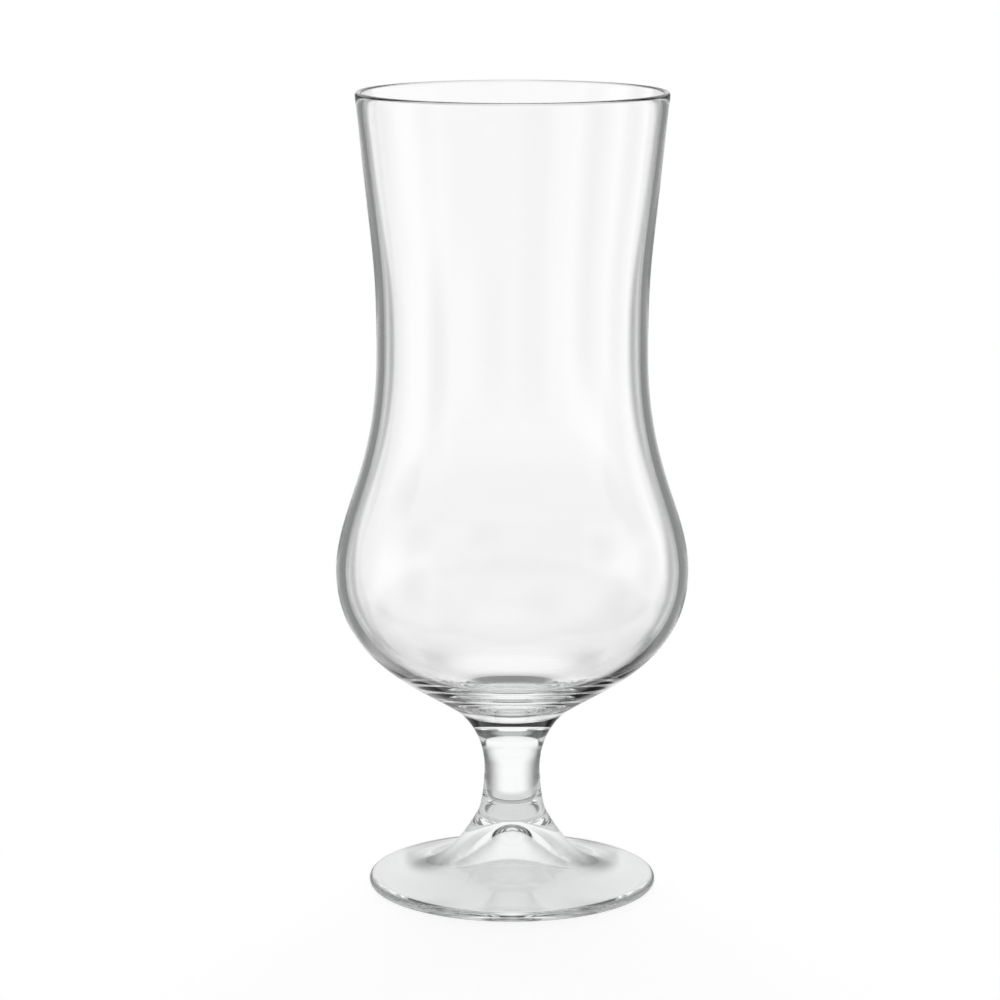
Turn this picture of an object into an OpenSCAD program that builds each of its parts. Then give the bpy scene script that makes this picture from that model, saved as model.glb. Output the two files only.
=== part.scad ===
// Stemmed beer glass with a tulip bowl.
// Three pieces of glass, fused end to end: a blown bowl, a solid stem and a trumpet foot.
// The origin is the middle of the ring that the glass stands on, and +Z is up its axis.

/* [Bowl] */
// Height of the bowl, from its joint with the stem to the top of the lip
bowl_h = 147.8; // [125:0.1:180]
// Outside diameter at the mouth
mouth_d = 73.3; // [60:0.1:90]
// Outward lean of the wall at the mouth, in degrees from upright
mouth_lean = 5.7; // [1:0.1:12]
// How far down the wall the lean of the mouth carries
mouth_reach = 39; // [20:1:45]
// Outside diameter at the waist
waist_d = 63.9; // [54:0.1:74]
// Height of the waist above the joint with the stem
waist_up = 87.4; // [76:0.1:98]
// How far up the wall the waist stays upright
waist_reach_up = 21.6; // [10:0.1:28]
// How far down the wall the waist stays upright
waist_reach_down = 28.6; // [10:0.1:34]
// Outside diameter at the belly
belly_d = 83.7; // [72:0.1:96]
// Height of the belly above the joint with the stem
belly_up = 34.7; // [28:0.1:42]
// How far up the wall the belly stays upright
belly_reach_up = 14.2; // [4:0.1:18]
// How far down the wall the belly stays upright
belly_reach_down = 21.3; // [14:0.1:26]
// Rise of the underside where it leaves the stem, in degrees from level
under_rise = 36.5; // [20:0.1:50]
// How far out the rise of the underside carries
under_reach = 12.9; // [6:0.1:18]

/* [Bowl wall] */
// Thickness of the rounded lip
lip_t = 1.5; // [1:0.1:2.4]
// Thickness of the wall at the waist
waist_t = 2.1; // [1.2:0.1:3.2]
// Thickness of the wall at the belly
belly_t = 2.2; // [1.2:0.1:3.4]
// Thickness of the base, from the joint with the stem to the floor inside
base_t = 4.6; // [2:0.1:6]
// How far out from the axis the floor inside stays level
floor_reach = 16; // [10:0.5:20]
// How much further down the belly stays upright on the inside than on the outside
hollow_reach_more = 0.7; // [-6:0.1:2]

/* [Stem] */
// Length of the stem between its two joints
stem_h = 25.5; // [20:0.1:60]
// Diameter of the joint between the stem and the bowl
bowl_joint_d = 25; // [18:0.1:32]
// Rise of the stem's upper end where it meets the bowl, in degrees from level
top_flare_rise = 47; // [30:1:70]
// How far in the rise of the stem's upper end carries
top_flare_reach = 3.8; // [2:0.1:6]
// Diameter of the stem at its narrowest
stem_d = 13.3; // [9:0.1:16]
// Height of the narrowest place above the joint with the foot
narrow_up = 11.5; // [6:0.1:13]
// How far up the stem the narrowest place stays upright
narrow_reach_up = 7.3; // [3:0.1:10]
// How far down the stem the narrowest place stays upright
narrow_reach_down = 2.5; // [1:0.1:6]
// Diameter of the joint between the stem and the foot
foot_joint_d = 17.3; // [14:0.1:22]
// Outward lean of the stem's lower end, in degrees from upright
low_flare_lean = 37; // [10:1:45]
// How far up the lean of the stem's lower end carries
low_flare_reach = 2.5; // [1:0.1:5]

/* [Foot] */
// Diameter of the foot
foot_d = 68.7; // [56:0.1:84]
// Height of the foot, from the table to its joint with the stem
foot_h = 16.7; // [13:0.1:22]
// Outward lean of the foot's cone under the joint, in degrees from upright
cone_lean = 30; // [20:1:45]
// How far down the lean of the cone carries
cone_reach = 14; // [8:0.5:16]
// Thickness of the foot's rounded edge
edge_t = 2.2; // [1.6:0.1:3.4]
// Fall of the foot's top at its edge, in degrees from level
edge_fall = 5; // [2:0.5:9]
// How far in the fall of the edge carries
edge_reach = 12; // [6:0.5:14]
// Width of the flat ring that the glass stands on
ring_w = 2.2; // [1:0.1:4]
// Thickness of the foot at the axis, from the top of the hollow under it to the joint with the stem
roof_t = 3.2; // [2:0.1:8]
// How far out from the axis the top of the hollow stays level
roof_reach = 6; // [3:0.5:10]
// Rise of the hollow where it leaves the ring, in degrees from level
hollow_rise = 4; // [2:0.5:8]
// How far in the rise of the hollow carries
hollow_run = 20; // [14:0.5:22]

/* [Hidden] */

// Roundness of the turned pieces
$fn = 144;
// Straight steps in each curve of an outline
curve_steps = 16;
// Straight steps in each rounded edge
edge_steps = 8;
// Colour of the clear glass
glass_colour = [0.88, 0.93, 0.92, 0.45];

// Heights of the joints, the top of the foot's hollow, the narrowest place of the stem and the bowl's places
foot_joint_z = foot_h;
roof_z = foot_joint_z - roof_t;
narrow_z = foot_joint_z + narrow_up;
bowl_joint_z = foot_joint_z + stem_h;
floor_z = bowl_joint_z + base_t;
belly_z = bowl_joint_z + belly_up;
waist_z = bowl_joint_z + waist_up;
lip_z = bowl_joint_z + bowl_h;

// Corners of the outlines, as radius and height
foot_joint = [foot_joint_d / 2, foot_joint_z];
narrow = [stem_d / 2, narrow_z];
bowl_joint = [bowl_joint_d / 2, bowl_joint_z];
belly_outside = [belly_d / 2, belly_z];
belly_inside = belly_outside - [belly_t, 0];
waist_outside = [waist_d / 2, waist_z];
waist_inside = waist_outside - [waist_t, 0];
floor_middle = [0, floor_z];
roof_middle = [0, roof_z];

// Rounded lip and rounded edge of the foot
lip_r = lip_t / 2;
lip_centre = [mouth_d / 2 - lip_r, lip_z - lip_r];
edge_r = edge_t / 2;
edge_centre = [foot_d / 2 - edge_r, edge_r];
ring_inside = [edge_centre.x - ring_w, 0];

// Direction at an angle above level and outwards, in degrees
function heading(angle) = [cos(angle), sin(angle)];

// Point at share t of a cubic curve from a to d, pulled towards b and c
function curve_point(a, b, c, d, t) =
    pow(1 - t, 3) * a + 3 * pow(1 - t, 2) * t * b + 3 * (1 - t) * t * t * c + pow(t, 3) * d;

// Points of a curve without its last one, where the next stretch starts
function curve(a, b, c, d) =
    [for (i = [0 : curve_steps - 1]) curve_point(a, b, c, d, i / curve_steps)];

// Points of an arc with both its ends
function arc(centre, radius, start, end) =
    [for (i = [0 : edge_steps]) centre + radius * heading(start + (end - start) * i / edge_steps)];

// The same points from the other end
function backwards(points) = [for (i = [len(points) - 1 : -1 : 0]) points[i]];

// One face of the bowl's wall, from the belly up to the mouth
function wall(belly, waist, mouth) =
    concat(curve(belly, belly + [0, belly_reach_up], waist - [0, waist_reach_down], waist),
           curve(waist, waist + [0, waist_reach_up],
                 mouth - mouth_reach * heading(90 - mouth_lean), mouth));

module bowl() {
    lip_side = lip_r * heading(-mouth_lean);
    underside = curve(bowl_joint, bowl_joint + under_reach * heading(under_rise),
                      belly_outside - [0, belly_reach_down], belly_outside);
    lip = arc(lip_centre, lip_r, -mouth_lean, 180 - mouth_lean);
    hollow = curve(floor_middle, floor_middle + [floor_reach, 0],
                   belly_inside - [0, belly_reach_down + hollow_reach_more], belly_inside);
    outside = concat(underside, wall(belly_outside, waist_outside, lip_centre + lip_side));
    inside = concat(hollow, wall(belly_inside, waist_inside, lip_centre - lip_side));
    color(glass_colour)
        rotate_extrude()
            polygon(concat([[0, bowl_joint_z]], outside, lip, backwards(inside)));
}

module stem() {
    top_flare = curve(bowl_joint, bowl_joint - top_flare_reach * heading(top_flare_rise),
                      narrow + [0, narrow_reach_up], narrow);
    low_flare = curve(narrow, narrow - [0, narrow_reach_down],
                      foot_joint + low_flare_reach * heading(90 + low_flare_lean), foot_joint);
    color(glass_colour)
        rotate_extrude()
            polygon(concat([[0, bowl_joint_z]], top_flare, low_flare, [foot_joint, [0, foot_joint_z]]));
}

module foot() {
    top_end = edge_centre + edge_r * heading(90 - edge_fall);
    top = curve(foot_joint, foot_joint + cone_reach * heading(cone_lean - 90),
                top_end + edge_reach * heading(180 - edge_fall), top_end);
    edge = arc(edge_centre, edge_r, 90 - edge_fall, -90);
    hollow = curve(ring_inside, ring_inside + hollow_run * heading(180 - hollow_rise),
                   roof_middle + [roof_reach, 0], roof_middle);
    color(glass_colour)
        rotate_extrude()
            polygon(concat([[0, foot_joint_z]], top, edge, hollow, [roof_middle]));
}

bowl();
stem();
foot();
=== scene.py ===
"""A stemmed tulip glass on a white sweep, lit from behind as clear glass is photographed."""

import math

import bmesh
import bpy
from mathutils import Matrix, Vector


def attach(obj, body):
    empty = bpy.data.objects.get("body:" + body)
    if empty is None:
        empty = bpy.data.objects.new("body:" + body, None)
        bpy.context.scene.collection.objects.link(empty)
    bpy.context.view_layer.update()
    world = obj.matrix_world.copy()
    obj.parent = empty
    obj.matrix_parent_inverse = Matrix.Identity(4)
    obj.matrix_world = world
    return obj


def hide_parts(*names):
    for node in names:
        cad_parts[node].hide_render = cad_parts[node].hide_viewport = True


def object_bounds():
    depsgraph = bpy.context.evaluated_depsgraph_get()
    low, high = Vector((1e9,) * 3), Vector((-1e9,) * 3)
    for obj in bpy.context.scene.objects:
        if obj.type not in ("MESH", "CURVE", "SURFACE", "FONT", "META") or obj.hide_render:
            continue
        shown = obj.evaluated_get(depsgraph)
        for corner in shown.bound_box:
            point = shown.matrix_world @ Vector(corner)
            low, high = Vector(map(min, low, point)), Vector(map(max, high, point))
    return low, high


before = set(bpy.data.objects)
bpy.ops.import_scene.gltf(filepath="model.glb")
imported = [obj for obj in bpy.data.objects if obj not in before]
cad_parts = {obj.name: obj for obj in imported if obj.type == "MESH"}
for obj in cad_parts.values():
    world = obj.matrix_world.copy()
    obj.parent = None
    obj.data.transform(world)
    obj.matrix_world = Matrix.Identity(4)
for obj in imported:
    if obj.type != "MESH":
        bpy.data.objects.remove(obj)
cad_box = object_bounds()
scene = bpy.context.scene

# Camera, in metres and degrees, with its lens and film in millimetres
CAMERA_BACK = 0.8415
CAMERA_UP = 0.2533
CAMERA_LEFT = 0.0029
CAMERA_PITCH = 10.752
CAMERA_LENS = 130.26
CAMERA_FILM = 36.0

# Turned meshes: steps round and along the outline, tolerances, and the material slot of a joint face
TURN_STEPS = 160
CURVE_FINENESS = 5
ON_AXIS = 1e-6
SAME_PLACE_DIGITS = 6
STRAIGHT = math.radians(0.02)
JOINT_SLOT = 1

# Glass, with ripples from forming, stretched along each piece, and a bloom of handling on its polish
GLASS_IOR = 1.52
CLEAR = (1.0, 1.0, 1.0, 1.0)
FAINT_TINT = (0.99, 1.0, 1.0, 1.0)
PIECES = (
    # node, tint, ripples per metre along x, y and z
    ("bowl", CLEAR, (60, 60, 9)),
    ("stem", FAINT_TINT, (90, 90, 30)),
    ("foot", FAINT_TINT, (60, 60, 60)),
)
RIPPLE_HEIGHT = 0.00002
RIPPLE_DETAIL = 1.0
BLOOM_SCALE = 45.0
BLOOM_DETAIL = 4.0
BLOOM_FROM = 0.45
BLOOM_TO = 0.8
BLOOM_ROUGHNESS = 0.015

# Floor, white to the camera where nothing shades it
FLOOR_RADIUS = 0.15
FLOOR_SOLID = 0.1
FLOOR_DROP = 0.0001
FLOOR_STEPS = 96
FLOOR_COLOUR = 0.5
FLOOR_GLOW = 0.83

# Floor seen through the glass: a glow of painted sheen, and painted shade behind the glass to looks
# steeper than these degrees
# Painted shade: the floor's colour as the glass sees it, darker than to the camera
SHADED_IN_GLASS_COLOUR = 0.12
PAINTED_SHEEN_GLOW = 0.66
PAINTED_SHADE_GLOW = 0.03
DIM_FROM = 0.018
DIM_TO = 0.032
STEEP_FROM = 34
STEEP_TO = 48
SIDE_FROM = 22
SIDE_TO = 36
SIDE_STEEP_FROM = 13
SIDE_STEEP_TO = 38
LEFT_SHARE = 0.6
LEFT_FADE = 0.02

# Glowing card, no lamp, that paints a glow seen only in the glass: bent round the back of the stem, in
# metres and in degrees from straight behind
CARD_BACK = 0.04
CARD_BOTTOM = 0.003
CARD_LOW_FADE = 0.004
CARD_TOP = 0.047
CARD_FADE = 0.011
CARD_STEEP_FROM = 34
CARD_STEEP_TO = 42
CARD_TURN = 75
CARD_END_FADE = 15
CARD_STEPS = 48
CARD_WHITE_TO = 7.5
CARD_DIM_FROM = 42
CARD_DIM = 0.2
CARD_WIDER = 6
CARD_WIDER_FROM = 0.022
CARD_WIDER_TO = 0.032

# Studio light by direction, in degrees: azimuth from straight behind the glass, and elevation
BLACK = (0.0, 0.008, 0.008, 1.0)
WHITE = (1.0, 1.0, 1.0, 1.0)
ROOM_LEVEL = 0.57
PATCHES = (
    # azimuth, half width, soft edge, lowest, highest, level
    # Panels on the left and on the right
    (-90, 30, 14, -90, 60, 1.0),
    (93, 18, 14, -90, 60, 0.85),
    # Dark upper room
    (0, 180, 18, 22, 90, 0.08),
    # Backdrop, wider low down
    (0, 60, 12, -90, 6, 1.0),
    (0, 40, 10, -90, 60, 1.0),
    # Flags on the left panel, which draw the glass's edges from its right side
    (-113, 2, 16, -9, 4, 0.3),
    (-67, 2, 16, -9, 4, 0.3),
    # Glow between two flags, which draw the glass's edges from behind
    (135, 3, 26, -16, -14, 0.88),
    (108, 2, 16, -18, -10, 0.3),
    (162, 2, 16, -18, -10, 0.3),
    # Low flag on the left, and two soft shades low on the backdrop
    (-72, 8, 12, -28, -24, 0.35),
    (-14, 5, 12, -60, -24, 0.55),
    (14, 5, 12, -50, -22, 0.7),
    # Flags on the backdrop, which draw the glass's edges from the front
    (-27, 13, 3, -34, 6, 0.25),
    (27, 13, 4, -34, 6, 0.25),
    # Light overhead
    (0, 180, 16, 76, 90, 0.5),
)

# Light paths: passes through the glass, inner reflections and passes through the fused joints
GLASS_PASSES = 96
INNER_REFLECTIONS = 20
JOINT_PASSES = 16


def half_section(node):
    """The outline of a turned CAD node, as (radius, height) points from one end to the other."""
    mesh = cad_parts[node].data
    place, near, exact = {}, {}, {}
    for v in mesh.vertices:
        if abs(v.co.y) < ON_AXIS and v.co.x > -ON_AXIS:
            place[v.index] = (round(v.co.x, SAME_PLACE_DIGITS), round(v.co.z, SAME_PLACE_DIGITS))
            exact[place[v.index]] = Vector((max(v.co.x, 0.0), v.co.z))
            near.setdefault(place[v.index], set())
    for a, b in (e.vertices for e in mesh.edges):
        if a in place and b in place and place[a] != place[b]:
            near[place[a]].add(place[b])
            near[place[b]].add(place[a])
    path = [max((p for p in near if len(near[p]) == 1), key=lambda p: p[1])]
    while onward := [p for p in near[path[-1]] if p not in path]:
        path.append(onward[0])
    return [exact[p] for p in path]


def without_straights(points):
    """The points where the outline bends, with its two ends."""
    kept = [points[0]]
    for before, here, after in zip(points, points[1:], points[2:]):
        if (here - before).angle(after - here) > STRAIGHT:
            kept.append(here)
    return kept + [points[-1]]


def smooth_through(points):
    """A finer outline on one smooth curve through the points, no lower than they are.

    An end on the axis crosses it level.
    """
    def beyond(end, inner):
        return Vector((-inner.x, inner.y)) if end.x < ON_AXIS else 2 * end - inner
    lowest = min(p.y for p in points)
    row = [beyond(points[0], points[1])] + points + [beyond(points[-1], points[-2])]
    fine = []
    for p0, p1, p2, p3 in zip(row, row[1:], row[2:], row[3:]):
        t0, t1, t2 = (math.sqrt((b - a).length) for a, b in ((p0, p1), (p1, p2), (p2, p3)))
        m1 = t1 * ((p1 - p0) / t0 - (p2 - p0) / (t0 + t1) + (p2 - p1) / t1)
        m2 = t1 * ((p2 - p1) / t1 - (p3 - p1) / (t1 + t2) + (p3 - p2) / t2)
        for i in range(CURVE_FINENESS):
            t = i / CURVE_FINENESS
            here = ((2 * t**3 - 3 * t**2 + 1) * p1 + (t**3 - 2 * t**2 + t) * m1
                    + (3 * t**2 - 2 * t**3) * p2 + (t**3 - t**2) * m2)
            fine.append(Vector((here.x, max(here.y, lowest))))
    return fine + [points[-1]]


def add_mesh(name, bm):
    """An object in the scene with the mesh that was built."""
    mesh = bpy.data.meshes.new(name)
    bm.to_mesh(mesh)
    bm.free()
    made = bpy.data.objects.new(name, mesh)
    scene.collection.objects.link(made)
    return made


def turned(name, outline):
    """A closed turned mesh. An end of the outline off the axis is closed by a flat joint face."""
    bm = bmesh.new()
    angles = [2 * math.pi * i / TURN_STEPS for i in range(TURN_STEPS)]
    rings = []
    for radius, height in outline:
        if radius < ON_AXIS:
            rings.append([bm.verts.new((0.0, 0.0, height))])
            continue
        rings.append([bm.verts.new((radius * math.cos(a), radius * math.sin(a), height)) for a in angles])
    for upper, lower in zip(rings, rings[1:]):
        for i in range(TURN_STEPS):
            j = (i + 1) % TURN_STEPS
            corners = [ring[k % len(ring)] for ring, k in ((upper, i), (upper, j), (lower, j), (lower, i))]
            bm.faces.new(list(dict.fromkeys(corners)))
    for ring in (rings[0], rings[-1]):
        if len(ring) > 1:
            joint = bm.faces.new(ring)
            joint.material_index = JOINT_SLOT
            for edge in joint.edges:
                edge.smooth = False
    bmesh.ops.recalc_face_normals(bm, faces=bm.faces)
    for face in bm.faces:
        face.smooth = True
    return add_mesh(name, bm)


def new_material(name):
    material = bpy.data.materials.new(name)
    material.use_nodes = True
    material.node_tree.nodes.clear()
    return material, material.node_tree


def new_node(tree, kind, inputs=(), **settings):
    """A shader node. Its inputs are set to values or joined to the outputs of other nodes."""
    node = tree.nodes.new("ShaderNode" + kind)
    for name, setting in settings.items():
        setattr(node, name, setting)
    for name, value in dict(inputs).items():
        if isinstance(value, bpy.types.NodeSocket):
            tree.links.new(value, node.inputs[name])
        else:
            node.inputs[name].default_value = value
    return node


def calculate(tree, operation, *values):
    return new_node(tree, "Math", enumerate(values), operation=operation).outputs[0]


def largest(tree, first, *others):
    for other in others:
        first = calculate(tree, "MAXIMUM", first, other)
    return first


def step(tree, value, start, end, low=0.0, high=1.0):
    """From low at the start to high at the end, on a smooth curve."""
    sockets = {"Value": value, "From Min": start, "From Max": end, "To Min": low, "To Max": high}
    return new_node(tree, "MapRange", sockets, interpolation_type="SMOOTHSTEP").outputs["Result"]


def blend(tree, share, start, end):
    """From start to end in a straight line, as the share goes from 0 to 1."""
    change = calculate(tree, "SUBTRACT", end, start)
    return calculate(tree, "MULTIPLY_ADD", share, change, start)


def axes(tree, vector):
    return new_node(tree, "SeparateXYZ", {"Vector": vector}).outputs


def azimuth(tree, parts):
    """Degrees from straight behind the glass, to the right, of a place or a direction."""
    return calculate(tree, "DEGREES", calculate(tree, "ARCTAN2", parts["X"], parts["Y"]))


def facing(tree):
    """0 for a look straight at the surface and 1 for a look along it."""
    return new_node(tree, "LayerWeight").outputs["Facing"]


def facing_at(angle):
    """What facing gives for a look that leans this far from straight on."""
    return 1 - math.cos(math.radians(angle))


def light_path(tree):
    return new_node(tree, "LightPath").outputs


def mix(tree, share, first, second):
    """The first shader where the share is 0, and the second where it is 1."""
    return new_node(tree, "MixShader", {0: share, 1: first, 2: second}).outputs["Shader"]


def see_through(tree):
    return new_node(tree, "BsdfTransparent").outputs["BSDF"]


def glass(name, tint, ripples):
    """Clear glass with slow ripples from forming and a faint bloom of handling on its polish."""
    material, tree = new_material(name)
    place = new_node(tree, "TexCoord").outputs["Object"]
    stretched = new_node(tree, "Mapping", {"Vector": place, "Scale": ripples}).outputs["Vector"]
    ripple = new_node(tree, "TexNoise", {"Vector": stretched, "Scale": 1.0, "Detail": RIPPLE_DETAIL})
    waves = {"Height": ripple.outputs["Fac"], "Strength": 1.0, "Distance": RIPPLE_HEIGHT}
    bloom = new_node(tree, "TexNoise", {"Vector": place, "Scale": BLOOM_SCALE, "Detail": BLOOM_DETAIL})
    polish = {
        "Value": bloom.outputs["Fac"],
        "From Min": BLOOM_FROM,
        "From Max": BLOOM_TO,
        "To Max": BLOOM_ROUGHNESS,
    }
    shader = new_node(tree, "BsdfPrincipled", {
        "Base Color": tint,
        "Transmission Weight": 1.0,
        "IOR": GLASS_IOR,
        "Normal": new_node(tree, "Bump", waves).outputs["Normal"],
        "Roughness": new_node(tree, "MapRange", polish).outputs["Result"],
    })
    new_node(tree, "OutputMaterial", {"Surface": shader.outputs["BSDF"]})
    return material


def fused_joint():
    """The flat face where two pieces are fused: the glass runs on, so nothing shows there."""
    material, tree = new_material("fused_joint")
    new_node(tree, "OutputMaterial", {"Surface": see_through(tree)})
    return material


def sweep_material():
    """White sweep. In the glass its glow is a painted sheen, bright at low angles, and painted shade, dim
    from above behind the glass.
    """
    material, tree = new_material("white_sweep")
    place = new_node(tree, "TexCoord").outputs["Object"]
    parts = axes(tree, place)
    away = calculate(tree, "ABSOLUTE", azimuth(tree, parts))
    slant = facing(tree)
    behind = step(tree, slant, facing_at(90 - STEEP_TO), facing_at(90 - STEEP_FROM))
    beside = step(tree, slant, facing_at(90 - SIDE_STEEP_TO), facing_at(90 - SIDE_STEEP_FROM))
    share = step(tree, parts["X"], -LEFT_FADE, LEFT_FADE, LEFT_SHARE, 1.0)
    side = calculate(tree, "MULTIPLY", step(tree, away, SIDE_FROM, SIDE_TO), share)
    sheen = blend(tree, side, behind, beside)
    front = step(tree, parts["Y"], DIM_TO, DIM_FROM)
    # Painted sheen and painted shade: the glow the glass sees, bright to low looks and dim to steep looks
    # behind the glass
    painted_glow = blend(tree, largest(tree, sheen, front), PAINTED_SHADE_GLOW, PAINTED_SHEEN_GLOW)
    rays = light_path(tree)
    straight = rays["Is Camera Ray"]
    looks = largest(tree, straight, rays["Is Glossy Ray"], rays["Is Transmission Ray"])
    seen = calculate(tree, "MULTIPLY", painted_glow, looks)
    glow = new_node(tree, "Emission", {"Strength": blend(tree, straight, seen, FLOOR_GLOW)})
    # Painted shade: a darker floor colour for rays from the glass
    matt = new_node(tree, "BsdfDiffuse", {"Color": blend(tree, straight, SHADED_IN_GLASS_COLOUR, FLOOR_COLOUR)})
    both = new_node(tree, "AddShader", {0: matt.outputs["BSDF"], 1: glow.outputs["Emission"]})
    reach = new_node(tree, "VectorMath", {0: place}, operation="LENGTH").outputs["Value"]
    gone = step(tree, reach, FLOOR_SOLID, FLOOR_RADIUS)
    shown = mix(tree, gone, both.outputs["Shader"], see_through(tree))
    new_node(tree, "OutputMaterial", {"Surface": shown})
    return material


def floor():
    bm = bmesh.new()
    bmesh.ops.create_circle(bm, cap_ends=True, segments=FLOOR_STEPS, radius=FLOOR_RADIUS)
    disc = add_mesh("floor", bm)
    disc.data.materials.append(sweep_material())
    disc.location.z = cad_box[0].z - FLOOR_DROP


def card_material():
    """Painted glow, white, dimmer to the sides, that fades out at its edges and to steep looks."""
    material, tree = new_material("glowing_card_material")
    parts = axes(tree, new_node(tree, "TexCoord").outputs["Object"])
    away = calculate(tree, "ABSOLUTE", azimuth(tree, parts))
    wider = step(tree, parts["Z"], CARD_WIDER_FROM, CARD_WIDER_TO, 0.0, CARD_WIDER)
    turn = calculate(tree, "SUBTRACT", away, wider)
    # Painted glow, dimmer to the sides
    white = step(tree, turn, CARD_WHITE_TO, CARD_DIM_FROM, 1.0, CARD_DIM)
    glow = new_node(tree, "Emission", {"Strength": white}).outputs["Emission"]
    over = step(tree, parts["Z"], CARD_TOP - CARD_FADE, CARD_TOP)
    under = step(tree, parts["Z"], CARD_BOTTOM + CARD_LOW_FADE, CARD_BOTTOM)
    sides = step(tree, away, CARD_TURN - CARD_END_FADE, CARD_TURN)
    steep = step(tree, facing(tree), facing_at(CARD_STEEP_FROM), facing_at(CARD_STEEP_TO))
    gone = largest(tree, over, under, sides, steep)
    new_node(tree, "OutputMaterial", {"Surface": mix(tree, gone, glow, see_through(tree))})
    return material


def glowing_card():
    """Glowing card behind the stem, a painted glow that shows only in the glass."""
    bm = bmesh.new()
    columns = []
    for i in range(CARD_STEPS + 1):
        angle = math.radians(CARD_TURN * (2 * i / CARD_STEPS - 1))
        x, y = CARD_BACK * math.sin(angle), CARD_BACK * math.cos(angle)
        columns.append((bm.verts.new((x, y, CARD_BOTTOM)), bm.verts.new((x, y, CARD_TOP))))
    for (low, high), (next_low, next_high) in zip(columns, columns[1:]):
        bm.faces.new((low, next_low, next_high, high)).smooth = True
    card = add_mesh("glowing_card", bm)
    card.data.materials.append(card_material())
    # Painted glow: the card lights nothing and shows only in the glass
    card.visible_camera = False
    card.visible_diffuse = False
    card.visible_shadow = False


def background(tree, colour):
    return new_node(tree, "Background", {"Color": colour}).outputs["Background"]


def studio_world():
    """Panels and flags in a room that is dark above. Past the glass, the camera sees plain white."""
    scene.world = bpy.data.worlds.new("studio")
    scene.world.use_nodes = True
    tree = scene.world.node_tree
    tree.nodes.clear()
    parts = axes(tree, new_node(tree, "TexCoord").outputs["Generated"])
    heading = azimuth(tree, parts)
    height = calculate(tree, "DEGREES", calculate(tree, "ARCSINE", parts["Z"]))
    level = ROOM_LEVEL
    for where, half, soft, low, high, bright in PATCHES:
        turn = calculate(tree, "WRAP", calculate(tree, "SUBTRACT", heading, where), 180, -180)
        across = step(tree, calculate(tree, "ABSOLUTE", turn), half + soft, half)
        above = step(tree, height, low - soft, low)
        below = step(tree, height, high + soft, high)
        upright = calculate(tree, "MULTIPLY", above, below)
        level = blend(tree, calculate(tree, "MULTIPLY", across, upright), level, bright)
    shade = new_node(tree, "MixRGB", {"Fac": level, "Color1": BLACK, "Color2": WHITE}).outputs["Color"]
    straight = light_path(tree)["Is Camera Ray"]
    seen = mix(tree, straight, background(tree, shade), background(tree, WHITE))
    new_node(tree, "OutputWorld", {"Surface": seen})


def camera():
    data = bpy.data.cameras.new("camera")
    data.lens = CAMERA_LENS
    data.sensor_width = CAMERA_FILM
    rig = bpy.data.objects.new("camera", data)
    rig.location = (-CAMERA_LEFT, -CAMERA_BACK, CAMERA_UP)
    rig.rotation_euler = (math.radians(90 - CAMERA_PITCH), 0.0, 0.0)
    scene.collection.objects.link(rig)
    scene.camera = rig


camera()
joint_face = fused_joint()
for node, tint, ripples in PIECES:
    outline = smooth_through(without_straights(half_section(node)))
    piece = turned("clear_" + node, outline)
    piece.data.materials.append(glass(node + "_glass", tint, ripples))
    piece.data.materials.append(joint_face)
    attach(piece, "root")
    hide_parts(node)
floor()
glowing_card()
studio_world()

scene.view_settings.view_transform = "Standard"
scene.cycles.max_bounces = GLASS_PASSES
scene.cycles.glossy_bounces = INNER_REFLECTIONS
scene.cycles.transmission_bounces = GLASS_PASSES
scene.cycles.transparent_max_bounces = JOINT_PASSES
